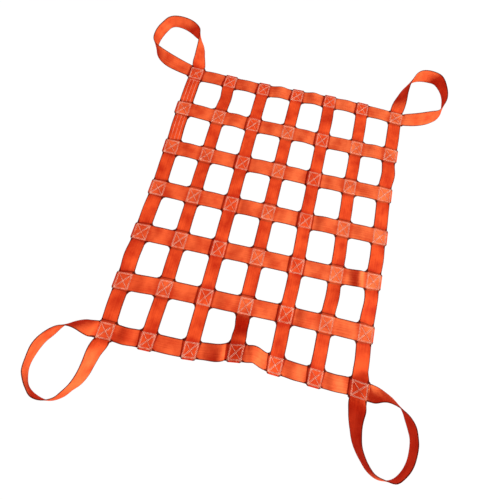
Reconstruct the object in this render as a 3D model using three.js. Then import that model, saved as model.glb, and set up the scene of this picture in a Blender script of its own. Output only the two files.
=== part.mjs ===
// Cargo lifting net sewn from flat webbing, lying open on the ground. Millimetres, +Z up.
// The origin is on the ground under the middle crossing, and +Y points to the far side of the net.
import * as THREE from 'three';

// Webbing
const BORDER_HALF_WIDTH = 25;
const LENGTHWISE_HALF_WIDTH = 23;
const CROSSWISE_HALF_WIDTH = 27.5;
const STRAP_THICK = 2.4;
const PLY_GAP = 0.3;
const LAYER = STRAP_THICK + PLY_GAP;

// Corners of a strap's section, as side and face, and the corner after which the under face runs
const CORNERS = [[1, 1], [-1, 1], [-1, -1], [1, -1]];
const UNDER_FACE = 2;

// Net, counted in columns from the left and in rows from the far side
const STRAPS_EACH_WAY = 7;
const LAST = STRAPS_EACH_WAY - 1;
const MIDDLE = LAST / 2;
const PITCH_X = 133;
const PITCH_Y = 158;
const SIDE_LEAN = 0.032;

// A strap is flat for this length each side of a crossing, and waves between crossings
const FLAT_HALF = 31;
const WAVE_STEPS = 4;
const SMALL_RISE = 1.4;
const SMALL_TILT = 2.2;
const MID_CELL = 0.5;
const PHASE = { runLength: 1.7, runNumber: 2.3, cell: 2.9, tiltRate: 1.6 };

// Ends folded round the border
const FOLD_CLEAR = 0.5;
const FOLD_STEPS = 6;
const TAIL_SHORT = 2;

// Border lap on the left side: the under end starts above this row, the upper end covers the corner
const LAP_ROW = 2;
const LAP_END = BORDER_HALF_WIDTH - 1;

// Lifting loops
const LOOP_DROP = 45;
const LOOP_STEPS = 2;

const ORANGE_LENGTHWISE = 0xe6552c;
const ORANGE_CROSSWISE = 0xf0683a;
const FINISH = { roughness: 0.78, metalness: 0 };

// Crossings that lie off the even grid
const PUSHED = [
  { col: 1, row: 0, dx: 3, dy: -3 },
  { col: 2, row: 0, dx: 2, dy: -3 },
  { col: 3, row: 0, dx: 2, dy: 3 },
  { col: 4, row: 0, dx: -2, dy: 9 },
  { col: 5, row: 0, dx: -4, dy: 9 },
  { col: 6, row: 0, dx: 0, dy: 5 },
  { col: 6, row: 1, dx: -3, dy: 0 },
  { col: 0, row: 2, dx: 4, dy: 0 },
  { col: 6, row: 2, dx: -4, dy: -1 },
  { col: 0, row: 3, dx: 7, dy: 0 },
  { col: 5, row: 3, dx: 3, dy: 1 },
  { col: 0, row: 4, dx: 3, dy: 0 },
  { col: 4, row: 4, dx: 3, dy: 0 },
  { col: 5, row: 4, dx: 6, dy: 0 },
  { col: 6, row: 4, dx: 0, dy: 4 },
  { col: 0, row: 5, dx: 0, dy: -4 },
  { col: 5, row: 5, dx: 1, dy: -2 },
  { col: 6, row: 5, dx: -2, dy: -5 },
  { col: 0, row: 6, dx: 0, dy: 2 },
  { col: 1, row: 6, dx: -2, dy: 0 },
  { col: 3, row: 6, dx: 4, dy: 15 },
  { col: 4, row: 6, dx: -1, dy: 8 },
  { col: 5, row: 6, dx: -5, dy: -2 },
  { col: 6, row: 6, dx: 0, dy: -8 },
];

// Cells where a strap stands off the ground. Cells are counted along the run: the border goes
// clockwise, the lengthwise straps towards the near side, the crosswise straps to the right.
// Rise, tilt and bow are reached at the crest, a share of the cell. Tilt in degrees lifts the left-hand
// edge, and bow moves the strap to the right.
const WAVES = [
  { run: 'near', cell: 0, rise: 4, tilt: -3, bow: 0, crest: 0.6 },
  { run: 'near', cell: 2, rise: 5, tilt: -8, bow: 5, crest: 0.6 },
  { run: 'near', cell: 3, rise: 6, tilt: 14, bow: 0, crest: 0.35 },
  { run: 'near', cell: 5, rise: 7, tilt: 2, bow: 0, crest: 0.5 },
  { run: 'far', cell: 2, rise: 5, tilt: 4, bow: 0, crest: 0.5 },
  { run: 'far', cell: 3, rise: 5, tilt: 3, bow: 0, crest: 0.5 },
  { run: 'left', cell: 1, rise: 5, tilt: 6, bow: 0, crest: 0.5 },
  { run: 'right', cell: 1, rise: 5, tilt: 5, bow: -2, crest: 0.5 },
  { run: 'right', cell: 4, rise: 3, tilt: -9, bow: 0, crest: 0.35 },
  { run: 'lengthwise_1', cell: 0, rise: 4, tilt: 9, bow: -5, crest: 0.5 },
  { run: 'lengthwise_2', cell: 2, rise: 4, tilt: 7, bow: 0, crest: 0.4 },
  { run: 'lengthwise_2', cell: 3, rise: 4, tilt: 3, bow: 0, crest: 0.45 },
  { run: 'lengthwise_3', cell: 5, rise: 8, tilt: 17, bow: -3, crest: 0.45 },
  { run: 'lengthwise_4', cell: 0, rise: 4, tilt: 10, bow: 0, crest: 0.5 },
  { run: 'lengthwise_5', cell: 4, rise: 5, tilt: 8, bow: 0, crest: 0.4 },
  { run: 'crosswise_1', cell: 1, rise: 5, tilt: 0, bow: 0, crest: 0.5 },
  { run: 'crosswise_3', cell: 2, rise: 5, tilt: 0, bow: 0, crest: 0.4 },
  { run: 'crosswise_3', cell: 4, rise: 6, tilt: 2, bow: 0, crest: 0.45 },
  { run: 'crosswise_4', cell: 5, rise: 14, tilt: 3, bow: 0, crest: 0.66 },
  { run: 'crosswise_5', cell: 4, rise: 6, tilt: 3, bow: 0, crest: 0.4 },
];

// Middle line of each lifting loop, from the corner crossing: out along the side that reaches the
// corner, sideways along the side that leaves it. Roll in degrees stands the strap on its outer edge.
const LOOPS = {
  farLeft: [
    { out: 31, side: 0, roll: 0 },
    { out: 54, side: 1, roll: 38 },
    { out: 82, side: 6, roll: 54 },
    { out: 110, side: 11, roll: 65 },
    { out: 148, side: 23, roll: 87 },
    { out: 172, side: 43, roll: 116 },
    { out: 190, side: 70, roll: 122 },
    { out: 198, side: 108, roll: 110 },
    { out: 195, side: 140, roll: 102 },
    { out: 184, side: 158, roll: 98 },
    { out: 161, side: 170, roll: 98 },
    { out: 133, side: 180, roll: 101 },
    { out: 105, side: 184, roll: 99 },
    { out: 80, side: 182, roll: 95 },
    { out: 58, side: 173, roll: 82 },
    { out: 38, side: 148, roll: 56 },
    { out: 25, side: 114, roll: 31 },
    { out: 16, side: 67, roll: 10 },
    { out: 11, side: 33, roll: 0 },
  ],
  farRight: [
    { out: 31, side: 1, roll: 0 },
    { out: 62, side: 9, roll: 14 },
    { out: 97, side: 20, roll: 28 },
    { out: 127, side: 33, roll: 46 },
    { out: 153, side: 49, roll: 65 },
    { out: 167, side: 76, roll: 70 },
    { out: 173, side: 109, roll: 82 },
    { out: 172, side: 142, roll: 86 },
    { out: 160, side: 177, roll: 91 },
    { out: 138, side: 206, roll: 105 },
    { out: 110, side: 214, roll: 119 },
    { out: 79, side: 211, roll: 125 },
    { out: 51, side: 195, roll: 121 },
    { out: 30, side: 167, roll: 90 },
    { out: 16, side: 135, roll: 75 },
    { out: 7, side: 99, roll: 61 },
    { out: 3, side: 68, roll: 34 },
    { out: 0, side: 31, roll: 0 },
  ],
  nearRight: [
    { out: 31, side: 0, roll: 0 },
    { out: 57, side: -3, roll: 32 },
    { out: 82, side: -2, roll: 48 },
    { out: 108, side: 2, roll: 61 },
    { out: 136, side: 9, roll: 70 },
    { out: 158, side: 21, roll: 73 },
    { out: 179, side: 38, roll: 74 },
    { out: 198, side: 60, roll: 71 },
    { out: 208, side: 92, roll: 65 },
    { out: 204, side: 129, roll: 73 },
    { out: 179, side: 156, roll: 78 },
    { out: 148, side: 172, roll: 83 },
    { out: 100, side: 178, roll: 92 },
    { out: 75, side: 172, roll: 98 },
    { out: 51, side: 162, roll: 102 },
    { out: 26, side: 143, roll: 92 },
    { out: 7, side: 112, roll: 80 },
    { out: -2, side: 82, roll: 70 },
    { out: -4, side: 60, roll: 54 },
    { out: -2, side: 43, roll: 28 },
    { out: 0, side: 31, roll: 0 },
  ],
  nearLeft: [
    { out: 27, side: 0, roll: 0 },
    { out: 37, side: -2, roll: 28 },
    { out: 51, side: -4, roll: 46 },
    { out: 68, side: -6, roll: 61 },
    { out: 86, side: -5, roll: 76 },
    { out: 106, side: 0, roll: 88 },
    { out: 127, side: 11, roll: 97 },
    { out: 150, side: 38, roll: 110 },
    { out: 166, side: 64, roll: 105 },
    { out: 173, side: 99, roll: 93 },
    { out: 174, side: 133, roll: 83 },
    { out: 167, side: 154, roll: 75 },
    { out: 151, side: 179, roll: 69 },
    { out: 124, side: 197, roll: 74 },
    { out: 89, side: 202, roll: 71 },
    { out: 57, side: 188, roll: 74 },
    { out: 39, side: 166, roll: 72 },
    { out: 25, side: 147, roll: 66 },
    { out: 15, side: 121, roll: 62 },
    { out: 10, side: 91, roll: 57 },
    { out: 7, side: 62, roll: 44 },
    { out: 2, side: 29, roll: 0 },
  ],
};

// Place of a crossing on the ground
function crossing(col, row) {
  const ahead = MIDDLE - row;
  const push = PUSHED.find((spot) => spot.col === col && spot.row === row) ?? { dx: 0, dy: 0 };
  const x = PITCH_X * (col - MIDDLE + SIDE_LEAN * ahead) + push.dx;
  const y = PITCH_Y * ahead + push.dy;
  return new THREE.Vector3(x, y, 0);
}

function column(col) {
  return Array.from({ length: STRAPS_EACH_WAY }, (unused, row) => crossing(col, row));
}

function rowOf(row) {
  return Array.from({ length: STRAPS_EACH_WAY }, (unused, col) => crossing(col, row));
}

function heading(from, to) {
  return to.clone().sub(from).normalize();
}

function smooth(share) {
  return THREE.MathUtils.smoothstep(share, 0, 1);
}

// Wave of one cell: a listed one, or a small one that differs from cell to cell
function waveOf(run, cell) {
  const listed = WAVES.find((wave) => wave.run === run && wave.cell === cell);
  if (listed) {
    return listed;
  }
  const runPhase = PHASE.runLength * run.length + PHASE.runNumber * run.charCodeAt(run.length - 1);
  const turn = runPhase + PHASE.cell * cell;
  const tilt = SMALL_TILT * Math.sin(PHASE.tiltRate * turn);
  return { rise: SMALL_RISE * (1 + Math.sin(turn)), tilt, bow: 0, crest: MID_CELL };
}

// Swell of a wave along its cell: 0 at both ends and 1 at its crest
function swellAt(share, crest) {
  return Math.sin(Math.PI * share ** (Math.log(MID_CELL) / Math.log(crest))) ** 2;
}

// Height of the middle line over the layers below it, for a strap that is tilted by some roll
function heightAt(level, roll, halfWidth) {
  const edgeDrop = halfWidth * Math.abs(Math.sin(roll));
  return level * LAYER + edgeDrop + (STRAP_THICK / 2) * Math.abs(Math.cos(roll));
}

// Places along a strap between crossings: position of the middle line, and roll
function runPlaces(run, crossings, levels, halfWidth, firstCell = 0) {
  const line = new THREE.CatmullRomCurve3(crossings, false, 'centripetal');
  const cells = crossings.length - 1;
  const places = [];
  for (let cell = firstCell; cell < cells; cell += 1) {
    const wave = waveOf(run, cell);
    const flatShare = FLAT_HALF / crossings[cell].distanceTo(crossings[cell + 1]);
    const ahead = heading(crossings[cell], crossings[cell + 1]);
    for (let step = 0; step <= WAVE_STEPS; step += 1) {
      const share = step / WAVE_STEPS;
      const swell = swellAt(share, wave.crest);
      const roll = THREE.MathUtils.degToRad(wave.tilt * swell);
      const level = THREE.MathUtils.lerp(levels[cell], levels[cell + 1], smooth(share));
      const spot = line.getPoint((cell + flatShare + (1 - 2 * flatShare) * share) / cells);
      spot.x += ahead.y * wave.bow * swell;
      spot.y -= ahead.x * wave.bow * swell;
      spot.z = heightAt(level, roll, halfWidth) + wave.rise * swell;
      places.push({ spot, roll });
    }
  }
  return places;
}

// Places along a lifting loop, which leaves the corner one layer up and comes back on the ground
function loopPlaces(corner, outward, sideward, rows) {
  const marks = rows.map((row) => new THREE.Vector3(row.out, row.side, row.roll));
  const line = new THREE.CatmullRomCurve3(marks, false, 'centripetal');
  const steps = LOOP_STEPS * (marks.length - 1);
  return line.getPoints(steps).map((mark, step) => {
    const roll = THREE.MathUtils.degToRad(Math.max(mark.z, 0));
    const fall = step < steps / 2 ? smooth((mark.x - FLAT_HALF) / LOOP_DROP) : 1;
    const spot = corner.clone().addScaledVector(outward, mark.x).addScaledVector(sideward, mark.y);
    spot.z = heightAt(1 - fall, roll, BORDER_HALF_WIDTH);
    return { spot, roll };
  });
}

// Cross section of the strap at each place: centre, unit vector across, unit vector out of the face
function sectionsAlong(places) {
  return places.map(({ spot, roll }, i) => {
    const before = places[Math.max(i - 1, 0)].spot;
    const after = places[Math.min(i + 1, places.length - 1)].spot;
    const ahead = heading(before.clone().setZ(0), after.clone().setZ(0));
    const right = new THREE.Vector3(ahead.y, -ahead.x, 0);
    const up = new THREE.Vector3(0, 0, 1);
    return {
      centre: spot,
      across: right.clone().multiplyScalar(Math.cos(roll)).addScaledVector(up, -Math.sin(roll)),
      face: up.multiplyScalar(Math.cos(roll)).addScaledVector(right, Math.sin(roll)),
    };
  });
}

// End of a strap that lies on the border, turns round its outer edge and comes back underneath
function foldedEnd(crossingPoint, outward, across, topLevel) {
  const radius = (topLevel * LAYER) / 2;
  const up = new THREE.Vector3(0, 0, 1);
  const pivot = crossingPoint.clone().addScaledVector(outward, BORDER_HALF_WIDTH + FOLD_CLEAR);
  pivot.z = STRAP_THICK / 2 + radius;
  const sections = [];
  for (let step = 0; step <= FOLD_STEPS; step += 1) {
    const turn = (Math.PI * step) / FOLD_STEPS;
    const face = up.clone().multiplyScalar(Math.cos(turn)).addScaledVector(outward, Math.sin(turn));
    sections.push({ centre: pivot.clone().addScaledVector(face, radius), across, face });
  }
  const tail = BORDER_HALF_WIDTH - TAIL_SHORT;
  const cutEnd = crossingPoint.clone().addScaledVector(outward, -tail);
  cutEnd.z = STRAP_THICK / 2;
  sections.push({ centre: cutEnd, across, face: up.clone().negate() });
  return sections;
}

// Closed solid through the four corners of every section. The top and under faces are split along
// the same diagonal, so that a twisted strap keeps its thickness.
function webbingGeometry(sections, halfWidth) {
  const position = [];
  const index = [];
  for (const { centre, across, face } of sections) {
    for (const [side, top] of CORNERS) {
      const corner = centre.clone();
      corner.addScaledVector(across, side * halfWidth);
      corner.addScaledVector(face, (top * STRAP_THICK) / 2);
      position.push(corner.x, corner.y, corner.z);
    }
  }
  const sides = CORNERS.length;
  for (let i = 0; i < sections.length - 1; i += 1) {
    for (let k = 0; k < sides; k += 1) {
      const here = i * sides + k;
      const beside = i * sides + ((k + 1) % sides);
      if (k === UNDER_FACE) {
        index.push(here, here + sides, beside);
        index.push(here + sides, beside + sides, beside);
      } else {
        index.push(here, here + sides, beside + sides);
        index.push(here, beside + sides, beside);
      }
    }
  }
  const end = (sections.length - 1) * sides;
  index.push(0, 1, 2, 0, 2, 3);
  index.push(end, end + 2, end + 1, end, end + 3, end + 2);
  const geometry = new THREE.BufferGeometry();
  geometry.setAttribute('position', new THREE.Float32BufferAttribute(position, 3));
  geometry.setIndex(index);
  geometry.computeVertexNormals();
  return geometry;
}

function webbing(name, sections, halfWidth, color) {
  const material = new THREE.MeshStandardMaterial({ color, ...FINISH });
  const mesh = new THREE.Mesh(webbingGeometry(sections, halfWidth), material);
  mesh.name = name;
  return mesh;
}

// The border: from its under end, round each side and loop in turn, to its upper end on the lap
function borderStrap() {
  const left = column(0).reverse();
  const sides = {
    far: rowOf(0),
    right: column(LAST),
    near: rowOf(LAST).reverse(),
    left,
  };
  const plainLevels = [0, 1, 1, 1, 1, 1, 1];
  const underLapLevels = [0, 0, 0, 0, 0, 1, 1];
  const overLapLevels = [0, 1, 1, 1, 1, 2, 2];
  const turns = [
    { arrive: 'left', leave: 'far', loop: 'farLeft', levels: plainLevels },
    { arrive: 'far', leave: 'right', loop: 'farRight', levels: plainLevels },
    { arrive: 'right', leave: 'near', loop: 'nearRight', levels: plainLevels },
    { arrive: 'near', leave: 'left', loop: 'nearLeft', levels: overLapLevels },
  ];
  const places = runPlaces('left', left, underLapLevels, BORDER_HALF_WIDTH, LAST - LAP_ROW);
  for (const { arrive, leave, loop, levels } of turns) {
    const corner = sides[leave][0];
    const outward = heading(sides[arrive][LAST - 1], corner);
    const sideward = heading(sides[leave][1], corner);
    places.push(...loopPlaces(corner, outward, sideward, LOOPS[loop]));
    places.push(...runPlaces(leave, sides[leave], levels, BORDER_HALF_WIDTH));
  }
  const lapEnd = left[LAST].clone().addScaledVector(heading(left[LAST - 1], left[LAST]), LAP_END);
  lapEnd.z = heightAt(overLapLevels[LAST], 0, BORDER_HALF_WIDTH);
  places.push({ spot: lapEnd, roll: 0 });
  return webbing('border_strap', sectionsAlong(places), BORDER_HALF_WIDTH, ORANGE_LENGTHWISE);
}

// Sections of a strap across the net, with both ends folded round the border sides that it meets
function innerSections(name, crossings, levels, halfWidth, borderAtStart, borderAtEnd) {
  const startOut = heading(crossings[1], crossings[0]);
  const endOut = heading(crossings[LAST - 1], crossings[LAST]);
  return [
    ...foldedEnd(crossings[0], startOut, borderAtStart, levels[0]).reverse(),
    ...sectionsAlong(runPlaces(name, crossings, levels, halfWidth)),
    ...foldedEnd(crossings[LAST], endOut, borderAtEnd, levels[LAST]),
  ];
}

// Lengthwise straps run towards the near side. Every second one lies over the crosswise straps.
function lengthwiseStrap(col) {
  const woven = col % 2 === 0 ? 1 : 0;
  const levels = [2, woven, woven, woven, woven, woven, 2];
  const farSide = heading(crossing(col + 1, 0), crossing(col - 1, 0));
  const nearSide = heading(crossing(col + 1, LAST), crossing(col - 1, LAST));
  const name = `lengthwise_${col}`;
  const halfWidth = LENGTHWISE_HALF_WIDTH;
  const sections = innerSections(name, column(col), levels, halfWidth, farSide, nearSide);
  return webbing(name, sections, halfWidth, ORANGE_LENGTHWISE);
}

// Crosswise straps run to the right. The first one also takes in the lapped ply of the border.
function crosswiseStrap(row) {
  const startLevel = row < LAP_ROW ? 3 : 2;
  const levels = [startLevel, 1, 0, 1, 0, 1, 2];
  const leftSide = heading(crossing(0, row - 1), crossing(0, row + 1));
  const rightSide = heading(crossing(LAST, row - 1), crossing(LAST, row + 1));
  const name = `crosswise_${row}`;
  const halfWidth = CROSSWISE_HALF_WIDTH;
  const sections = innerSections(name, rowOf(row), levels, halfWidth, leftSide, rightSide);
  return webbing(name, sections, halfWidth, ORANGE_CROSSWISE);
}

const net = new THREE.Group();
net.add(borderStrap());
for (let i = 1; i < LAST; i += 1) {
  net.add(lengthwiseStrap(i));
  net.add(crosswiseStrap(i));
}

export default net;
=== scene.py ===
"""Cargo lifting net of orange webbing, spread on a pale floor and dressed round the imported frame."""

import math
from collections import namedtuple

import bmesh
import bpy
import numpy as np
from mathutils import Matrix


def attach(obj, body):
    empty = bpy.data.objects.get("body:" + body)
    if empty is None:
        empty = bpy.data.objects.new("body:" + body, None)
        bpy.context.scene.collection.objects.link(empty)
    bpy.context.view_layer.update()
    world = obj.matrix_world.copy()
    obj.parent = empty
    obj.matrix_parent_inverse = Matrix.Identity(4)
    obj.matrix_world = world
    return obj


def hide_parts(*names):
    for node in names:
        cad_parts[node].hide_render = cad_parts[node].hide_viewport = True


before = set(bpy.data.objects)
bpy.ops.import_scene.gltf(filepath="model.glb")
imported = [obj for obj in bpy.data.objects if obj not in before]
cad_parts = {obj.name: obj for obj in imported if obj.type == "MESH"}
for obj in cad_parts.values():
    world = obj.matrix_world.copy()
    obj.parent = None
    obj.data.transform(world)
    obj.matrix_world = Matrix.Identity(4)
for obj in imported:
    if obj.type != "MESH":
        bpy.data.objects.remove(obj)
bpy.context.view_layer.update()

# Webbing and net, in millimetres
MM = 0.001
BORDER_HALF_WIDTH = 25
LENGTHWISE_HALF_WIDTH = 23
CROSSWISE_HALF_WIDTH = 27.5
STRAP_THICK = 2.4
CLOTH_THICK = 2.1
LAYER = 2.7
STRAPS_EACH_WAY = 7
LAST = STRAPS_EACH_WAY - 1
MIDDLE = LAST / 2
PITCH_X = 133
PITCH_Y = 158
SIDE_LEAN = 0.032

# A strap is flat for this length each side of a crossing, and waves between crossings
FLAT_HALF = 31
WAVE_STEPS = 28
CROSSING_STEPS = 16
SMALL_RISE = 1.4
SMALL_TILT = 2.2
MID_CELL = 0.5
RUN_LENGTH_PHASE = 1.7
RUN_NUMBER_PHASE = 2.3
CELL_PHASE = 2.9
TILT_RATE = 1.6

# Ends folded round the border, the border's lap, and the lifting loops
FOLD_CLEAR = 0.5
FOLD_STEPS = 12
TAIL_SHORT = 2
LAP_ROW = 2
LAP_END = BORDER_HALF_WIDTH - 1
LOOP_DROP = 45
LOOP_STEPS = 6

# Soft unevenness of the cloth away from the sewn crossings
CUP = 0.55
CUP_LENGTH = 190
EDGE_RIPPLE = 0.5
EDGE_RIPPLE_LENGTH = 83
RELIEF_FADE = 25

# Sewing spreads the cloth at a crossing, and the end of a strap draws in where it folds
SPREAD = 5
SPREAD_FADE = 12
FOLD_PINCH = 0.2
FOLDED = ("fold", "tail")

# Mesh across a strap, and the angle in degrees from which an edge of it is sharp
FACE_STEPS = 14
SELVEDGE_STEPS = 4
SHARP_FROM = 50

# Sewing
SEAM_SHARE = 0.84
ROW_GAP = 2.6
STITCH_PITCH = 4.2
STITCH_LENGTH = 3.9
THREAD_WIDTH = 2.5
THREAD_HEIGHT = 0.8
THREAD_PROUD = 0.12
LAP_ROWS = (-13, 0, 13)
BAR_BELOW_BOX = 10
ROW_STEPS = 8
STITCH_SIDES = 6
STITCH_RINGS = 3
SMALLEST_STITCH = (0.88, 0.85, 0.8)
LARGEST_STITCH = (1.0, 1.1, 1.1)
TOP_SEED = 3
UNDER_SEED = 8

# Names of the chart along a strap, of the places within the sewn boxes, which are 1 at their lines,
# and of the painted sheen, which is 0 where the webbing has its deep tone and 1 where it is painted in
# its lighter, lit tone
CHART = "webbing"
SEAM_ACROSS = "seam_across"
SEAM_ALONG = "seam_along"
PAINTED_SHEEN = "painted_sheen"

# Painted sheen of a loop, and of a strap across the middle of the net with its change for each metre
LOOP_SHEEN = 0.5
SHEEN_MIDDLE = 0.72
SHEEN_TO_RIGHT = 0.75
SHEEN_AHEAD = 0.35

# Crossings that stand up on their right edge. A hump climbs from start to top and is down again at
# end, counted to the right of its crossing. It is full for the half depth ahead of the crossing's
# middle and behind it, and fades out from there. Push shifts it ahead as well.
Hump = namedtuple("Hump", "rise push start top end ahead behind")
HUMPS = {
    (3, 6): Hump(32, 14, -75, 45, 120, 120, 100),
    (6, 6): Hump(18, 0, -32, 26, 84, 56, 100),
}
HUMP_HALF_DEPTH = 26

# Crossings that lie off the even grid: (column, row): (dx, dy)
PUSHED = {
    (1, 0): (3, -3),
    (2, 0): (2, -3),
    (3, 0): (2, 3),
    (4, 0): (-2, 9),
    (5, 0): (-4, 9),
    (6, 0): (0, 5),
    (6, 1): (-3, 0),
    (0, 2): (4, 0),
    (6, 2): (-4, -1),
    (0, 3): (7, 0),
    (5, 3): (3, 1),
    (0, 4): (3, 0),
    (4, 4): (3, 0),
    (5, 4): (6, 0),
    (6, 4): (0, 4),
    (0, 5): (0, -4),
    (5, 5): (1, -2),
    (6, 5): (-2, -5),
    (0, 6): (0, 2),
    (1, 6): (-2, 0),
    (3, 6): (4, 15),
    (4, 6): (-1, 8),
    (5, 6): (-5, -2),
    (6, 6): (0, -8),
}

# Cells where a strap stands off the ground. The border's cells are counted clockwise, those of the
# lengthwise straps towards the near side and those of the crosswise straps to the right. Tilt is in
# degrees, bow is a shift to the right of the run, and crest is the share of the cell before the top.
Wave = namedtuple("Wave", "rise tilt bow crest")
WAVES = {
    ("near", 0): Wave(4, -3, 0, 0.6),
    ("near", 2): Wave(2, -6, 5, 0.6),
    ("near", 3): Wave(9, 14, 0, 0.3),
    ("near", 5): Wave(7, 2, 0, 0.5),
    ("far", 2): Wave(5, 4, 0, 0.5),
    ("far", 3): Wave(5, 3, 0, 0.5),
    ("left", 1): Wave(5, 6, 0, 0.5),
    ("right", 1): Wave(5, 5, -2, 0.5),
    ("right", 4): Wave(3, -9, 0, 0.35),
    ("lengthwise_1", 0): Wave(4, 9, -5, 0.5),
    ("lengthwise_2", 2): Wave(4, 7, 0, 0.4),
    ("lengthwise_2", 3): Wave(4, 3, 0, 0.45),
    ("lengthwise_3", 5): Wave(8, 27, -1, 0.47),
    ("lengthwise_4", 0): Wave(4, 10, 0, 0.5),
    ("lengthwise_5", 4): Wave(5, 8, 0, 0.4),
    ("crosswise_1", 1): Wave(5, 0, 0, 0.5),
    ("crosswise_3", 2): Wave(5, 0, 0, 0.4),
    ("crosswise_3", 4): Wave(6, 2, 0, 0.45),
    ("crosswise_4", 5): Wave(14, 3, 0, 0.66),
    ("crosswise_5", 4): Wave(6, 3, 0, 0.4),
}

# Middle line of each lifting loop from the corner crossing: (out, side, roll in degrees)
LOOPS = {
    "far_left": (
        (31, 0, 0), (54, 1, 38), (82, 6, 54), (110, 11, 65), (148, 23, 87), (172, 43, 116),
        (190, 70, 122), (198, 108, 110), (195, 140, 102), (184, 158, 98), (161, 170, 98),
        (133, 180, 101), (105, 184, 99), (80, 182, 95), (58, 173, 82), (38, 148, 56), (25, 114, 31),
        (16, 67, 10), (11, 33, 0),
    ),
    "far_right": (
        (31, 1, 0), (62, 9, 14), (97, 20, 28), (127, 33, 46), (153, 49, 65), (167, 76, 70),
        (173, 109, 82), (172, 142, 86), (160, 177, 91), (138, 206, 105), (110, 214, 119),
        (79, 211, 120), (51, 195, 107), (30, 167, 90), (16, 135, 77), (7, 99, 61), (3, 68, 34),
        (0, 31, 0),
    ),
    "near_right": (
        (31, 0, 0), (44, -2, 20), (60, -3, 40), (82, -2, 53), (108, 2, 63), (136, 9, 70),
        (158, 21, 73), (179, 38, 74), (198, 60, 71), (208, 92, 65), (204, 129, 73), (179, 156, 78),
        (148, 172, 83), (100, 178, 92), (75, 172, 98), (51, 162, 102), (26, 143, 92), (7, 112, 80),
        (-2, 82, 70), (-4, 60, 54), (-2, 43, 28), (0, 31, 0),
    ),
    "near_left": (
        (27, 0, 0), (37, -2, 28), (51, -4, 46), (68, -6, 61), (86, -5, 76), (106, 0, 88),
        (127, 11, 97), (150, 38, 110), (166, 64, 105), (173, 99, 93), (174, 133, 83),
        (167, 154, 75), (151, 179, 69), (124, 197, 74), (89, 202, 71), (57, 188, 74), (39, 166, 72),
        (25, 147, 66), (15, 121, 62), (10, 91, 57), (7, 62, 44), (2, 29, 0),
    ),
}

# Colours, linear
DEEP_DARK = (0.57, 0.038, 0.008)
DEEP_LIGHT = (0.91, 0.134, 0.029)
# The light tones are painted sheen, mixed in where webbing runs across the net
LIGHT_DARK = (0.64, 0.086, 0.021)
LIGHT_LIGHT = (0.96, 0.262, 0.082)
# Painted shadow: the dark colour of a band along the strap edges and into the corners beside the
# crossings
EDGE_SHADOW = (0.07, 0.008, 0.004)
# Painted shade in the grooves pressed in by the sewing
GROOVE_SHADE = (0.36, 0.022, 0.006)
THREAD = (1.00, 0.80, 0.62)
THREAD_SHADE = (0.96, 0.58, 0.38)
THREAD_WORN = (0.90, 0.30, 0.14)
FLOOR = (0.03, 0.03, 0.03)
FLOOR_GLOW = 1.0

# Camera and light. The fill is reddish, which keeps the webbing's shaded faces a deep orange.
CAMERA_AT = (-0.0343, -0.238, 1.098)
CAMERA_TURN = (15.554, -4.348, 11.879)
CAMERA_LENS = 23.04
CAMERA_SHIFT = (-0.037, -0.119)
CAMERA_NEAREST = 0.05
KEY_AT = (4.3, -2.0, 2.97)
KEY_POWER = 372
KEY_SIZE = 1.6
KEY_COLOUR = (0.885, 1.0, 0.955)
FILL_STRENGTH = 0.56
FILL_COLOUR = (1.0, 0.24, 0.25)
STAGE_RADIUS = 9
STAGE_DIVISIONS = 5


# Shape of the straps

Place = namedtuple("Place", "spot roll sewn seam part")
Section = namedtuple("Section", "centre across face sewn seam part")
UP = np.array((0.0, 0.0, 1.0))


def unit(vector):
    return vector / np.linalg.norm(vector)


def smooth(share):
    """Eases from 0 to 1."""
    share = np.clip(share, 0.0, 1.0)
    return share * share * (3 - 2 * share)


def crossing(col, row):
    """Place of a crossing on the ground."""
    dx, dy = PUSHED.get((col, row), (0, 0))
    ahead = MIDDLE - row
    x = PITCH_X * (col - MIDDLE + SIDE_LEAN * ahead) + dx
    return np.array((x, PITCH_Y * ahead + dy, 0.0))


def column(col):
    return [crossing(col, row) for row in range(STRAPS_EACH_WAY)]


def row_of(row):
    return [crossing(col, row) for col in range(STRAPS_EACH_WAY)]


def seam_half(half_width):
    """Half size of a sewn box on a strap of some half width."""
    return SEAM_SHARE * half_width


def seams_past(half_width):
    """Half lengths of the sewn boxes on a run between borders, past straps of some half width."""
    border = (seam_half(BORDER_HALF_WIDTH),)
    return border + (seam_half(half_width),) * (LAST - 1) + border


def curve_point(points, share):
    """Point on a centripetal Catmull-Rom curve, for a share from 0 at its start to 1 at its end."""
    last = len(points) - 1
    place = share * last
    i = min(int(place), last - 1)
    t = place - i
    p1, p2 = points[i], points[i + 1]
    p0 = points[i - 1] if i > 0 else 2 * p1 - p2
    p3 = points[i + 2] if i < last - 1 else 2 * p2 - p1
    d0, d1, d2 = (math.sqrt(np.linalg.norm(b - a)) for a, b in ((p0, p1), (p1, p2), (p2, p3)))
    start = d1 * ((p1 - p0) / d0 - (p2 - p0) / (d0 + d1) + (p2 - p1) / d1)
    end = d1 * ((p2 - p1) / d1 - (p3 - p1) / (d1 + d2) + (p3 - p2) / d2)
    square = -3 * p1 + 3 * p2 - 2 * start - end
    cube = 2 * p1 - 2 * p2 + start + end
    return p1 + t * (start + t * (square + t * cube))


def wave_of(run, cell):
    """A listed wave, or a small one that differs from cell to cell."""
    if (run, cell) in WAVES:
        return WAVES[run, cell]
    turn = RUN_LENGTH_PHASE * len(run) + RUN_NUMBER_PHASE * ord(run[-1]) + CELL_PHASE * cell
    tilt = SMALL_TILT * math.sin(TILT_RATE * turn)
    return Wave(SMALL_RISE * (1 + math.sin(turn)), tilt, 0, MID_CELL)


def swell_at(share, crest):
    """Swell of a wave along its cell, 0 at both ends and 1 at its crest."""
    return math.sin(math.pi * share ** (math.log(MID_CELL) / math.log(crest))) ** 2


def height_at(level, roll, half_width):
    """Height of the middle line of a strap that lies on some layers, tilted by some roll."""
    return level * LAYER + half_width * abs(math.sin(roll)) + STRAP_THICK / 2 * abs(math.cos(roll))


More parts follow.
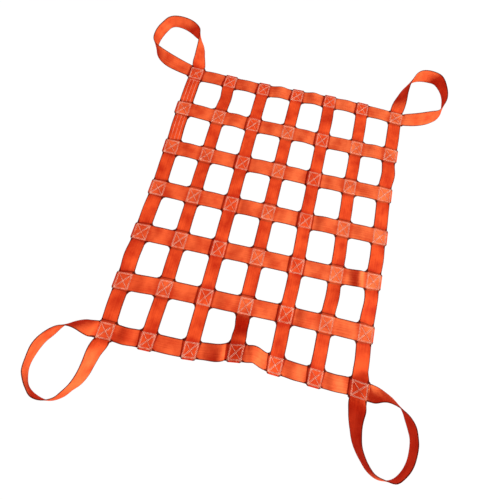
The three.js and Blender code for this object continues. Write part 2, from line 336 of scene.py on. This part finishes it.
def run_places(run, crossings, levels, half_width, seams, first_cell=0):
    """Places along a strap between crossings."""
    cells = len(crossings) - 1
    places = []
    for cell in range(first_cell, cells):
        wave = wave_of(run, cell)
        length = np.linalg.norm(crossings[cell + 1] - crossings[cell])
        flat = FLAT_HALF / length
        ahead = unit(crossings[cell + 1] - crossings[cell])
        for step in range(WAVE_STEPS + 1):
            share = step / WAVE_STEPS
            swell = swell_at(share, wave.crest)
            roll = math.radians(wave.tilt * swell)
            level = levels[cell] + (levels[cell + 1] - levels[cell]) * smooth(share)
            spot = curve_point(crossings, (cell + flat + (1 - 2 * flat) * share) / cells)
            spot[0] += ahead[1] * wave.bow * swell
            spot[1] -= ahead[0] * wave.bow * swell
            spot[2] = height_at(level, roll, half_width) + wave.rise * swell
            sewn = FLAT_HALF + (length / 2 - FLAT_HALF) * (1 - abs(2 * share - 1))
            seam = seams[cell] if share < 0.5 else seams[cell + 1]
            places.append(Place(spot, roll, sewn, seam, (run, cell)))
    return places


def loop_places(name, corner, outward, sideward):
    """Places along a lifting loop. It leaves the corner one layer up and comes back on the ground."""
    marks = [np.array(row, float) for row in LOOPS[name]]
    steps = LOOP_STEPS * (len(marks) - 1)
    places = []
    for step in range(steps + 1):
        out, side, roll = curve_point(marks, step / steps)
        roll = math.radians(max(roll, 0.0))
        fall = smooth((out - FLAT_HALF) / LOOP_DROP) if step < steps / 2 else 1.0
        spot = corner + out * outward + side * sideward
        spot[2] = height_at(1 - fall, roll, BORDER_HALF_WIDTH)
        seam = seam_half(BORDER_HALF_WIDTH)
        places.append(Place(spot, roll, math.hypot(out, side), seam, (name, 0)))
    return places


def sections_along(places):
    """Sections of a strap that follows its places, turned with its path and its roll."""
    sections = []
    for i, place in enumerate(places):
        before = places[max(i - 1, 0)].spot
        after = places[min(i + 1, len(places) - 1)].spot
        ahead = unit((after - before) * (1, 1, 0))
        right = np.array((ahead[1], -ahead[0], 0.0))
        across = math.cos(place.roll) * right - math.sin(place.roll) * UP
        face = math.cos(place.roll) * UP + math.sin(place.roll) * right
        sections.append(Section(place.spot, across, face, place.sewn, place.seam, place.part))
    return sections


def with_crossings(sections):
    """Adds the sections over each crossing, where two flat lengths meet."""
    whole = [sections[0]]
    for before, section in zip(sections, sections[1:]):
        if before.part != section.part:
            at_fold = before.part in FOLDED or section.part in FOLDED
            length = before.sewn + section.sewn
            for step in range(1, CROSSING_STEPS):
                share = step / CROSSING_STEPS
                pairs = zip(before[:3], section[:3])
                centre, across, face = ((1 - share) * a + share * b for a, b in pairs)
                past = share * length - before.sewn
                nearer = before if past < 0 else section
                part = nearer.part if at_fold else "crossing"
                whole.append(Section(centre, unit(across), unit(face), abs(past), section.seam, part))
        whole.append(section)
    return whole


def folded_end(crossing_point, outward, across, top_level):
    """End that lies on the border, turns round its outer edge and comes back underneath."""
    radius = top_level * LAYER / 2
    reach = BORDER_HALF_WIDTH + FOLD_CLEAR
    seam = seam_half(BORDER_HALF_WIDTH)
    pivot = crossing_point + reach * outward + (STRAP_THICK / 2 + radius) * UP
    sections = []
    for step in range(FOLD_STEPS + 1):
        turn = math.pi * step / FOLD_STEPS
        face = math.cos(turn) * UP + math.sin(turn) * outward
        drawn_in = 1 - FOLD_PINCH * math.sin(turn)
        sections.append(Section(pivot + radius * face, drawn_in * across, face, reach, seam, "fold"))
    tail = BORDER_HALF_WIDTH - TAIL_SHORT
    cut_end = crossing_point - tail * outward + STRAP_THICK / 2 * UP
    sections.append(Section(cut_end, across, -UP, tail, seam, "tail"))
    return sections


def border_sections():
    """The border from its under end, round loops and sides in turn, to its upper end on the lap."""
    left = column(0)[::-1]
    sides = {"far": row_of(0), "right": column(LAST), "near": row_of(LAST)[::-1], "left": left}
    over_lengthwise = seams_past(LENGTHWISE_HALF_WIDTH)
    over_crosswise = seams_past(CROSSWISE_HALF_WIDTH)
    plain = (0, 1, 1, 1, 1, 1, 1)
    under_lap = (0, 0, 0, 0, 0, 1, 1)
    over_lap = (0, 1, 1, 1, 1, 2, 2)
    turns = (
        ("left", "far", "far_left", plain, over_lengthwise),
        ("far", "right", "far_right", plain, over_crosswise),
        ("right", "near", "near_right", plain, over_lengthwise),
        ("near", "left", "near_left", over_lap, over_crosswise),
    )
    places = run_places("left", left, under_lap, BORDER_HALF_WIDTH, over_crosswise, LAST - LAP_ROW)
    for arrive, leave, loop, levels, seams in turns:
        corner = sides[leave][0]
        outward = unit(corner - sides[arrive][LAST - 1])
        sideward = unit(corner - sides[leave][1])
        places += loop_places(loop, corner, outward, sideward)
        places += run_places(leave, sides[leave], levels, BORDER_HALF_WIDTH, seams)
    lap_end = left[LAST] + LAP_END * unit(left[LAST] - left[LAST - 1])
    lap_end[2] = height_at(over_lap[LAST], 0, BORDER_HALF_WIDTH)
    places.append(Place(lap_end, 0.0, LAP_END, seam_half(BORDER_HALF_WIDTH), "lap_end"))
    return with_crossings(sections_along(places))


def inner_sections(run, crossings, half_width, seams, levels, border_at_start, border_at_end):
    """A strap from border to border, folded round the border at both ends."""
    start_out = unit(crossings[0] - crossings[1])
    end_out = unit(crossings[LAST] - crossings[LAST - 1])
    return with_crossings(
        folded_end(crossings[0], start_out, border_at_start, levels[0])[::-1]
        + sections_along(run_places(run, crossings, levels, half_width, seams))
        + folded_end(crossings[LAST], end_out, border_at_end, levels[LAST])
    )


def lengthwise_sections(run, col):
    """A strap towards the near side. Every second one lies over the crosswise straps."""
    woven = 1 if col % 2 == 0 else 0
    levels = (2,) + (woven,) * (LAST - 1) + (2,)
    far_side = unit(crossing(col - 1, 0) - crossing(col + 1, 0))
    near_side = unit(crossing(col - 1, LAST) - crossing(col + 1, LAST))
    seams = seams_past(CROSSWISE_HALF_WIDTH)
    return inner_sections(run, column(col), LENGTHWISE_HALF_WIDTH, seams, levels, far_side, near_side)


def crosswise_sections(run, row):
    """A strap to the right. The first one also takes in the lapped ply of the border."""
    levels = (3 if row < LAP_ROW else 2, 1, 0, 1, 0, 1, 2)
    left_side = unit(crossing(0, row + 1) - crossing(0, row - 1))
    right_side = unit(crossing(LAST, row + 1) - crossing(LAST, row - 1))
    seams = seams_past(LENGTHWISE_HALF_WIDTH)
    return inner_sections(run, row_of(row), CROSSWISE_HALF_WIDTH, seams, levels, left_side, right_side)


def strap_profile(half_width):
    """Closed outline of a strap's section with rounded selvedges, as offsets across and up."""
    edge = CLOTH_THICK / 2
    flat = np.linspace(half_width - edge, edge - half_width, FACE_STEPS + 1)
    turn = np.linspace(0, math.pi, SELVEDGE_STEPS + 1)[1:-1]
    bulge, rise = edge * np.sin(turn), edge * np.cos(turn)
    out = np.concatenate((flat, flat[-1] - bulge, flat[::-1], flat[0] + bulge))
    up = np.concatenate((np.full_like(flat, edge), rise, np.full_like(flat, -edge), -rise))
    return out, up


def soft_lift(sections, reach, along, phase):
    """Lift of the edges where the cloth is free of the seams, for places across and along a strap."""
    free = np.array([smooth((s.sewn - FLAT_HALF) / RELIEF_FADE) for s in sections])
    cup = CUP * (1 + np.sin(2 * math.pi * along / CUP_LENGTH + phase)) / 2
    ripple = np.sin(2 * math.pi * along / EDGE_RIPPLE_LENGTH + phase)
    edges = EDGE_RIPPLE * (1 + np.sign(reach) * ripple[:, None]) / 2
    return free[:, None] * (cup[:, None] * reach**2 + edges * reach**4)


def spread_share(section):
    """Share of the full spread: 1 at a crossing, less towards a fold and 0 away from the sewing."""
    half = section.seam / SEAM_SHARE
    if section.part in FOLDED:
        return smooth((half - section.sewn) / (2 * half))
    if section.part[0] in LOOPS:
        return 0.0
    share = 1 - smooth((section.sewn - half) / SPREAD_FADE)
    return share if section.part == "crossing" else share * smooth((half + section.sewn) / (2 * half))


def spread(sections, reach, on_border):
    """Widening at the crossings, for places across a strap. The border spreads only inwards."""
    share = np.array([spread_share(s) for s in sections])[:, None]
    return SPREAD * share * (np.maximum(reach, 0) if on_border else reach)


def directions(col, row):
    """Unit steps to the right and ahead at a crossing."""
    right = unit(crossing(min(col + 1, LAST), row) - crossing(max(col - 1, 0), row))
    ahead = unit(crossing(col, max(row - 1, 0)) - crossing(col, min(row + 1, LAST)))
    return right, ahead


def humped(points):
    """The points, raised and pushed ahead where they lie on a hump."""
    raised = np.array(points, float)
    for place, hump in HUMPS.items():
        right, ahead = directions(*place)
        off = raised - crossing(*place)
        to_right, depth = off @ right, off @ ahead
        climb = smooth((to_right - hump.start) / (hump.top - hump.start))
        fall = smooth((hump.end - to_right) / (hump.end - hump.top))
        in_front = smooth((hump.ahead - depth) / (hump.ahead - HUMP_HALF_DEPTH))
        in_back = smooth((hump.behind + depth) / (hump.behind - HUMP_HALF_DEPTH))
        share = climb * fall * in_front * in_back
        raised += share[..., None] * (hump.push * ahead + (0, 0, hump.rise))
    return raised


def painted_sheen_of(section):
    """Painted sheen of a strap: lighter where it runs across the net and where it lies to the far
    right.
    A loop turns through all ways, so it is even."""
    x, y = section.centre[0] * MM, section.centre[1] * MM
    across_net = np.cross(section.across, section.face)[0] ** 2
    pale = (SHEEN_MIDDLE + SHEEN_TO_RIGHT * x + SHEEN_AHEAD * y) * across_net
    if section.part[0] in LOOPS:
        pale += (LOOP_SHEEN - pale) * smooth((section.sewn - FLAT_HALF) / LOOP_DROP)
    return pale


def strap(name, sections, half_width, look):
    """A length of webbing through its sections, which replaces the solid of the same name."""
    out, up = strap_profile(half_width)
    centre, across, face = (np.array([s[i] for s in sections]) for i in range(3))
    steps = np.linalg.norm(np.diff(humped(centre), axis=0), axis=1)
    along = np.concatenate(((0.0,), np.cumsum(steps)))
    phase = RUN_LENGTH_PHASE * len(name) + RUN_NUMBER_PHASE * ord(name[-1])
    lift = up + soft_lift(sections, out / half_width, along, phase)
    wide = out + spread(sections, out / half_width, name == "border_strap")
    points = centre[:, None] + across[:, None] * wide[:, :, None] + face[:, None] * lift[:, :, None]
    points = humped(points)
    count, ring = points.shape[:2]
    faces = []
    for i in range(count - 1):
        for k in range(ring):
            here, beside = i * ring + k, i * ring + (k + 1) % ring
            faces.append((here, here + ring, beside + ring, beside))
    faces.append(tuple(range(ring)))
    faces.append(tuple(range(count * ring - 1, (count - 1) * ring - 1, -1)))
    mesh = bpy.data.meshes.new(name + "_webbing")
    mesh.from_pydata((points.reshape(-1, 3) * MM).tolist(), [], faces)
    corner_point = np.empty(len(mesh.loops), np.int32)
    mesh.loops.foreach_get("vertex_index", corner_point)
    chart = np.stack((out[corner_point % ring], along[corner_point // ring]), axis=1) * MM
    mesh.uv_layers.new(name=CHART).data.foreach_set("uv", chart.ravel())
    seam_across = np.tile(out / seam_half(half_width), count)
    seam_along = np.repeat([s.sewn / s.seam for s in sections], ring)
    painted_sheen = np.repeat([painted_sheen_of(s) for s in sections], ring)
    for label, values in ((SEAM_ACROSS, seam_across), (SEAM_ALONG, seam_along), (PAINTED_SHEEN, painted_sheen)):
        mesh.attributes.new(label, "FLOAT", "POINT").data.foreach_set("value", values)
    mesh.shade_smooth()
    mesh.set_sharp_from_angle(angle=math.radians(SHARP_FROM))
    mesh.materials.append(look)
    piece = bpy.data.objects.new(name + "_webbing", mesh)
    bpy.context.collection.objects.link(piece)
    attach(piece, "root")
    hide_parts(name)


# Materials

class Value:
    """A socket of a look. Arithmetic on it adds Math nodes."""

    def __init__(self, look, socket):
        self.look = look
        self.socket = socket

    def maths(self, operation, *others):
        inputs = dict(enumerate((self, *others)))
        return self.look.node("ShaderNodeMath", {"operation": operation}, inputs)[0]

    def __add__(self, other):
        return self.maths("ADD", other)

    __radd__ = __add__

    def __sub__(self, other):
        return self.maths("SUBTRACT", other)

    def __rsub__(self, other):
        return (self * -1) + other

    def __mul__(self, other):
        return self.maths("MULTIPLY", other)

    __rmul__ = __mul__

    def __abs__(self):
        return self.maths("ABSOLUTE")


class Node:
    """A node of a look. Its outputs are read by name or number."""

    def __init__(self, look, made):
        self.look = look
        self.made = made

    def __getitem__(self, output):
        return Value(self.look, self.made.outputs[output])


# Numbers of the colour sockets of a Mix node, which share their names with others
MIX_FIRST = 6
MIX_SECOND = 7
MIX_RESULT = 2


class Look:
    """A material whose Principled shader is fed by nodes."""

    def __init__(self, name):
        self.material = bpy.data.materials.new(name)
        self.material.use_nodes = True
        self.tree = self.material.node_tree
        self.shader = self.tree.nodes["Principled BSDF"]

    def fill(self, made, inputs):
        for socket, value in inputs.items():
            if isinstance(value, Value):
                self.tree.links.new(value.socket, made.inputs[socket])
            else:
                made.inputs[socket].default_value = value

    def node(self, kind, settings=None, inputs=None):
        made = self.tree.nodes.new(kind)
        for setting, value in (settings or {}).items():
            setattr(made, setting, value)
        self.fill(made, inputs or {})
        return Node(self, made)

    def finish(self, inputs):
        self.fill(self.shader, inputs)
        return self.material

    def mix(self, share, first, second):
        sides = {MIX_FIRST: first, MIX_SECOND: second}
        solid = {i: side if isinstance(side, Value) else (*side, 1.0) for i, side in sides.items()}
        return self.node("ShaderNodeMix", {"data_type": "RGBA"}, {0: share, **solid})[MIX_RESULT]

    def ramp_down(self, value, start, end):
        """1 up to start, falling smoothly to 0 at end."""
        ends = {"Value": value, "From Min": start, "From Max": end, "To Min": 1.0, "To Max": 0.0}
        return self.node("ShaderNodeMapRange", {"interpolation_type": "SMOOTHSTEP"}, ends)[0]

    def noise(self, vector, scale, detail):
        inputs = {"Vector": vector, "Scale": scale, "Detail": detail}
        return self.node("ShaderNodeTexNoise", None, inputs)[0]

    def attribute(self, label):
        return self.node("ShaderNodeAttribute", {"attribute_name": label})["Fac"]

    def place(self):
        return self.node("ShaderNodeTexCoord")["Object"]

    def bump(self, height, settings):
        return self.node("ShaderNodeBump", None, {**settings, "Height": height})["Normal"]


FULL_TURN = 2 * math.pi
MID_VALUE = 0.5

# Weave, and the noises over it
WARP_PITCH = 1.25 * MM
TWILL_PITCH = 2.3 * MM
TWILL_BAND = 6.25 * MM
TWILL_SHARE = 0.3
WARP_SHARE = 0.2
STREAKS_ACROSS = 420
STREAKS_ALONG = 7
STREAK_DETAIL = 2
CLOUDS = 22
CLOUD_DETAIL = 3

# Where bands start and end, in metres from the edge or in box sizes from the middle of a crossing
# The edge band and its widening into the corners are painted shadow along the strap edges
EDGE_SHADOW_BAND = (1.2 * MM, 4.0 * MM)
CORNER_SHADOW_BAND = 3.2 * MM
CORNER_SHADOW_AT = 1.25
CORNER_SHADOW_REACH = (0.08, 0.40)
BESIDE_SEAM = (1.1, 1.9)
COVERED = (0.9, 1.1)
GROOVE = (0.03, 0.14)

# Tone of the webbing, 0 for dark and 1 for light, and how much each thing changes it
TONE = 0.55
STREAK_TONE = 1.1
CLOUD_TONE = 2.3
WEAVE_TONE = 0.3
# Painted shade darkens the webbing just outside each sewn box
BESIDE_SHADE = 0.4
# The covers set how strongly painted shade fills the sewn grooves and painted shadow darkens the
# edges, less over a crossing
GROOVE_SHADE_COVER = 0.45
EDGE_SHADOW_COVER = 0.92
EDGE_SHADOW_SPARED = 0.5

# Face of the webbing
GROOVE_DEPTH = 2.0
WEAVE_BUMP = {"Strength": 0.5, "Distance": 0.3 * MM}
SMOOTHEST_WEBBING = 0.66
WEBBING_ROUGHER = 0.18
WEBBING_SHINE = 0.08
SHEEN_WEIGHT = 0.03
SHEEN_ROUGHNESS = 0.45
SHEEN_TINT = (1.0, 0.55, 0.38, 1.0)

# Thread and floor
FIBRES = 900
WEAR_PATCHES = 75
THREAD_DETAIL = 2
WEAR = (0.46, 0.74)
THREAD_BUMP = {"Strength": 0.4, "Distance": 0.2 * MM}
SMOOTHEST_THREAD = 0.5
THREAD_ROUGHER = 0.2
THREAD_SHINE = 0.15
FLOOR_GRAIN = 40
FLOOR_DETAIL = 4
FLOOR_DARKER = 0.96
FLOOR_ROUGHNESS = 0.9
FLOOR_SHINE = 0.1


def webbing_look(name, half_width):
    """Herringbone polyester webbing with lengthwise streaks and sewn grooves, with painted shadow
    along its edges, painted shade in the grooves and beside the sewn boxes, and painted sheen where it
    runs across the net.
    """
    look = Look(name)
    uv = look.node("ShaderNodeUVMap", {"uv_map": CHART})[0]
    chart = look.node("ShaderNodeSeparateXYZ", None, {0: uv})
    across, along = chart[0], chart[1]

    band = across.maths("PINGPONG", TWILL_BAND)
    twill = ((along + band) * (FULL_TURN / TWILL_PITCH)).maths("SINE")
    warp = (across * (FULL_TURN / WARP_PITCH)).maths("SINE")
    weave = MID_VALUE + TWILL_SHARE * twill + WARP_SHARE * warp

    drawn_out = {0: across * STREAKS_ACROSS, 1: along * STREAKS_ALONG}
    streaks = look.noise(look.node("ShaderNodeCombineXYZ", None, drawn_out)[0], 1.0, STREAK_DETAIL)
    clouds = look.noise(look.place(), CLOUDS, CLOUD_DETAIL)

    seam_across = abs(look.attribute(SEAM_ACROSS))
    seam_along = look.attribute(SEAM_ALONG)
    # Painted shadow: a dark band along each strap edge, widened into the corners beside a crossing and
    # lighter over a crossing
    corner = look.ramp_down(abs(seam_along - CORNER_SHADOW_AT), *CORNER_SHADOW_REACH)
    edge_shadow = look.ramp_down(half_width * MM - abs(across) - CORNER_SHADOW_BAND * corner, *EDGE_SHADOW_BAND)
    reach = seam_across.maths("MAXIMUM", seam_along)
    outside = reach.maths("GREATER_THAN", 1.0)
    cross_line = abs(seam_across - seam_along) * math.sqrt(0.5) + outside
    groove = look.ramp_down(abs(reach - 1.0).maths("MINIMUM", cross_line), *GROOVE)
    # Painted shade: the webbing is darker just outside each sewn box
    beside = outside * look.ramp_down(seam_along, *BESIDE_SEAM)
    covered = look.ramp_down(seam_along, *COVERED)

    patches = STREAK_TONE * (streaks - MID_VALUE) + CLOUD_TONE * (clouds - MID_VALUE)
    tone = TONE + patches + WEAVE_TONE * (weave - MID_VALUE) - BESIDE_SHADE * beside
    deep = look.mix(tone, DEEP_DARK, DEEP_LIGHT)
    light = look.mix(tone, LIGHT_DARK, LIGHT_LIGHT)
    # Painted sheen: the lighter tones are mixed in where a strap runs across the net
    colour = look.mix(look.attribute(PAINTED_SHEEN), deep, light)
    # Painted shade darkens the grooves pressed in by the sewing
    colour = look.mix(GROOVE_SHADE_COVER * groove, colour, GROOVE_SHADE)
    colour = look.mix((EDGE_SHADOW_COVER - EDGE_SHADOW_SPARED * covered) * edge_shadow, colour, EDGE_SHADOW)
    return look.finish({
        "Base Color": colour,
        "Roughness": SMOOTHEST_WEBBING + WEBBING_ROUGHER * clouds,
        "Normal": look.bump(weave + streaks - GROOVE_DEPTH * groove, WEAVE_BUMP),
        "Specular IOR Level": WEBBING_SHINE,
        "Sheen Weight": SHEEN_WEIGHT,
        "Sheen Roughness": SHEEN_ROUGHNESS,
        "Sheen Tint": SHEEN_TINT,
    })


def thread_look():
    """Pale thread, worn down to the colour of the webbing in places."""
    look = Look("thread")
    place = look.place()
    fibres = look.noise(place, FIBRES, THREAD_DETAIL)
    fresh = look.ramp_down(look.noise(place, WEAR_PATCHES, THREAD_DETAIL), *WEAR)
    return look.finish({
        "Base Color": look.mix(fresh, THREAD_WORN, look.mix(fibres, THREAD_SHADE, THREAD)),
        "Roughness": SMOOTHEST_THREAD + THREAD_ROUGHER * fibres,
        "Normal": look.bump(fibres, THREAD_BUMP),
        "Specular IOR Level": THREAD_SHINE,
    })


def floor_look():
    """Pale floor with a faint grain. Its glow keeps it even."""
    look = Look("floor")
    grain = look.noise(look.place(), FLOOR_GRAIN, FLOOR_DETAIL)
    return look.finish({
        "Base Color": look.mix(grain, tuple(FLOOR_DARKER * c for c in FLOOR), FLOOR),
        "Roughness": FLOOR_ROUGHNESS,
        "Emission Color": (1.0, 1.0, 1.0, 1.0),
        "Emission Strength": FLOOR_GLOW,
        "Specular IOR Level": FLOOR_SHINE,
    })


# Sewing

def top_level(col, row):
    """Level of the uppermost strap at a crossing."""
    at_side = col in (0, LAST)
    at_end = row in (0, LAST)
    lapped = col == 0 and row < LAP_ROW
    if at_side and at_end:
        return 2 if lapped else 1
    if at_side or at_end:
        return 3 if lapped else 2
    return 1


def box_rows(col, row):
    """Ends of the rows that make a box with a cross in it, as (right, ahead) from the crossing."""
    half_right = seam_half(BORDER_HALF_WIDTH if col in (0, LAST) else LENGTHWISE_HALF_WIDTH)
    half_ahead = seam_half(BORDER_HALF_WIDTH if row in (0, LAST) else CROSSWISE_HALF_WIDTH)
    lines = []
    for gap in (-ROW_GAP / 2, ROW_GAP / 2):
        x, y = half_right + gap, half_ahead + gap
        corners = ((-x, -y), (x, -y), (x, y), (-x, y))
        lines += [(corners[i], corners[(i + 1) % 4]) for i in range(4)]
        x, y = half_right - ROW_GAP, half_ahead - ROW_GAP
        slip = gap * math.sqrt(0.5)
        lines.append(((-x + slip, -y - slip), (x + slip, y - slip)))
    lines.append(((-x, y), (x, -y)))
    if (col, row) == (0, 0):
        bar = -half_ahead - BAR_BELOW_BOX
        lines.append(((-half_right, bar), (half_right, bar)))
    return lines


def sewing_lines(on_top):
    """Paths of the rows of stitches on the top or on the underside of the net."""
    lines = []
    cloth = CLOTH_THICK / 2
    for col in range(STRAPS_EACH_WAY):
        for row in range(STRAPS_EACH_WAY):
            middle = crossing(col, row)
            right, ahead = directions(col, row)
            if on_top:
                middle[2] = height_at(top_level(col, row), 0, 0) + cloth + THREAD_PROUD
            else:
                middle[2] = THREAD_HEIGHT / 2
            for ends in box_rows(col, row):
                start, end = (middle + a * right + b * ahead for a, b in ends)
                lines.append(humped(np.linspace(start, end, ROW_STEPS + 1)))
    return lines


def lap_lines(sections, cells):
    """Rows of stitches along the lap, on the upper face of the border."""
    lines = []
    lift = CLOTH_THICK / 2 + THREAD_PROUD
    for cell in cells:
        length = [s for s in sections if s.part == ("left", cell)][-WAVE_STEPS - 1:]
        for offset in LAP_ROWS:
            lines.append([s.centre + offset * s.across + lift * s.face for s in length])
    return lines


def sewing_tree():
    """Lays a stitch at even steps along every line of its mesh."""
    tree = bpy.data.node_groups.new("sewing", "GeometryNodeTree")
    sockets = {}
    named = (
        ("Lines", "NodeSocketGeometry"),
        ("Stitch Pitch", "NodeSocketFloat"),
        ("Stitch Length", "NodeSocketFloat"),
        ("Thread Width", "NodeSocketFloat"),
        ("Thread Height", "NodeSocketFloat"),
        ("Thread", "NodeSocketMaterial"),
        ("Seed", "NodeSocketInt"),
    )
    for name, kind in named:
        socket = tree.interface.new_socket(name=name, in_out="INPUT", socket_type=kind)
        sockets[name] = socket.identifier
    tree.interface.new_socket(name="Stitches", in_out="OUTPUT", socket_type="NodeSocketGeometry")

    def node(kind, settings=None, inputs=None):
        made = tree.nodes.new(kind)
        for setting, value in (settings or {}).items():
            setattr(made, setting, value)
        for socket, value in (inputs or {}).items():
            if isinstance(value, bpy.types.NodeSocket):
                tree.links.new(value, made.inputs[socket])
            else:
                made.inputs[socket].default_value = value
        return made

    given = node("NodeGroupInput").outputs
    curve = node("GeometryNodeMeshToCurve", None, {"Mesh": given["Lines"]})
    spots = node("GeometryNodeCurveToPoints", {"mode": "LENGTH"}, {
        "Curve": curve.outputs[0], "Length": given["Stitch Pitch"],
    })
    lie = node("FunctionNodeAlignRotationToVector", {"axis": "X"}, {
        "Vector": spots.outputs["Tangent"],
    })
    size = node("ShaderNodeCombineXYZ", None, {
        0: given["Stitch Length"], 1: given["Thread Width"], 2: given["Thread Height"],
    })
    vary = node("FunctionNodeRandomValue", {"data_type": "FLOAT_VECTOR"}, {
        "Min": SMALLEST_STITCH, "Max": LARGEST_STITCH, "Seed": given["Seed"],
    })
    scale = node("ShaderNodeVectorMath", {"operation": "MULTIPLY"}, {
        0: size.outputs[0], 1: vary.outputs[0],
    })
    stitch = node("GeometryNodeMeshUVSphere", None, {
        "Segments": STITCH_SIDES, "Rings": STITCH_RINGS, "Radius": 0.5,
    })
    laid = node("GeometryNodeInstanceOnPoints", None, {
        "Points": spots.outputs["Points"],
        "Instance": stitch.outputs["Mesh"],
        "Rotation": lie.outputs[0],
        "Scale": scale.outputs[0],
    })
    real = node("GeometryNodeRealizeInstances", None, {0: laid.outputs[0]})
    soft = node("GeometryNodeSetShadeSmooth", None, {0: real.outputs[0]})
    dyed = node("GeometryNodeSetMaterial", None, {
        "Geometry": soft.outputs[0], "Material": given["Thread"],
    })
    node("NodeGroupOutput", None, {0: dyed.outputs[0]})
    return tree, sockets


def sew(name, lines, tree, sockets, thread, seed):
    """A plain mesh of stitches along the lines."""
    points, edges = [], []
    for line in lines:
        edges += [(len(points) + i, len(points) + i + 1) for i in range(len(line) - 1)]
        points += [tuple(p * MM) for p in line]
    guide_mesh = bpy.data.meshes.new(name + "_lines")
    guide_mesh.from_pydata(points, edges, [])
    guide = bpy.data.objects.new(name + "_lines", guide_mesh)
    bpy.context.collection.objects.link(guide)
    modifier = guide.modifiers.new("sewing", "NODES")
    modifier.node_group = tree
    values = {
        "Stitch Pitch": STITCH_PITCH * MM,
        "Stitch Length": STITCH_LENGTH * MM,
        "Thread Width": THREAD_WIDTH * MM,
        "Thread Height": THREAD_HEIGHT * MM,
        "Thread": thread,
        "Seed": seed,
    }
    for socket, value in values.items():
        modifier[sockets[socket]] = value
    bpy.context.view_layer.update()
    made = guide.evaluated_get(bpy.context.evaluated_depsgraph_get())
    mesh = bpy.data.meshes.new_from_object(made)
    mesh.name = name
    guide.modifiers.remove(modifier)
    bpy.data.objects.remove(guide)
    bpy.data.meshes.remove(guide_mesh)
    piece = bpy.data.objects.new(name, mesh)
    bpy.context.collection.objects.link(piece)
    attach(piece, "root")


# The net

border_look = webbing_look("webbing_deep_border", BORDER_HALF_WIDTH)
lengthwise_look = webbing_look("webbing_deep", LENGTHWISE_HALF_WIDTH)
crosswise_look = webbing_look("webbing_light", CROSSWISE_HALF_WIDTH)

border = border_sections()
strap("border_strap", border, BORDER_HALF_WIDTH, border_look)
for number in range(1, LAST):
    run = f"lengthwise_{number}"
    strap(run, lengthwise_sections(run, number), LENGTHWISE_HALF_WIDTH, lengthwise_look)
    run = f"crosswise_{number}"
    strap(run, crosswise_sections(run, number), CROSSWISE_HALF_WIDTH, crosswise_look)

thread = thread_look()
sewing, sewing_sockets = sewing_tree()
top_lines = sewing_lines(True) + lap_lines(border, range(LAST - LAP_ROW, LAST))
sew("thread_top", top_lines, sewing, sewing_sockets, thread, TOP_SEED)
sew("thread_under", sewing_lines(False), sewing, sewing_sockets, thread, UNDER_SEED)

# Floor, light and camera

# The floor runs into a round backdrop: a ball whose lower half is pressed flat
ball = bmesh.new()
bmesh.ops.create_icosphere(ball, subdivisions=STAGE_DIVISIONS, radius=STAGE_RADIUS)
for point in ball.verts:
    point.co.z = max(point.co.z, 0)
bmesh.ops.reverse_faces(ball, faces=ball.faces)
floor_mesh = bpy.data.meshes.new("floor")
ball.to_mesh(floor_mesh)
ball.free()
floor_mesh.materials.append(floor_look())
floor = bpy.data.objects.new("floor", floor_mesh)
# It is only seen. It gives the net no light, and keeps none from it.
floor.visible_diffuse = False
floor.visible_glossy = False
floor.visible_shadow = False
bpy.context.collection.objects.link(floor)

key = bpy.data.lights.new("key", "AREA")
key.energy = KEY_POWER
key.color = KEY_COLOUR
key.size = KEY_SIZE
key_lamp = bpy.data.objects.new("key", key)
x, y, z = KEY_AT
key_lamp.location = KEY_AT
key_lamp.rotation_euler = (math.atan2(math.hypot(x, y), z), 0, math.atan2(x, -y))
bpy.context.collection.objects.link(key_lamp)

world = bpy.data.worlds.new("studio")
world.use_nodes = True
fill = world.node_tree.nodes["Background"]
fill.inputs["Strength"].default_value = FILL_STRENGTH
fill.inputs["Color"].default_value = (*FILL_COLOUR, 1)

scene = bpy.context.scene
scene.world = world
scene.view_settings.view_transform = "Standard"

lens = bpy.data.cameras.new("camera")
lens.lens = CAMERA_LENS
lens.shift_x, lens.shift_y = CAMERA_SHIFT
lens.clip_start = CAMERA_NEAREST
camera = bpy.data.objects.new("camera", lens)
camera.location = CAMERA_AT
camera.rotation_euler = [math.radians(turn) for turn in CAMERA_TURN]
bpy.context.collection.objects.link(camera)
scene.camera = camera
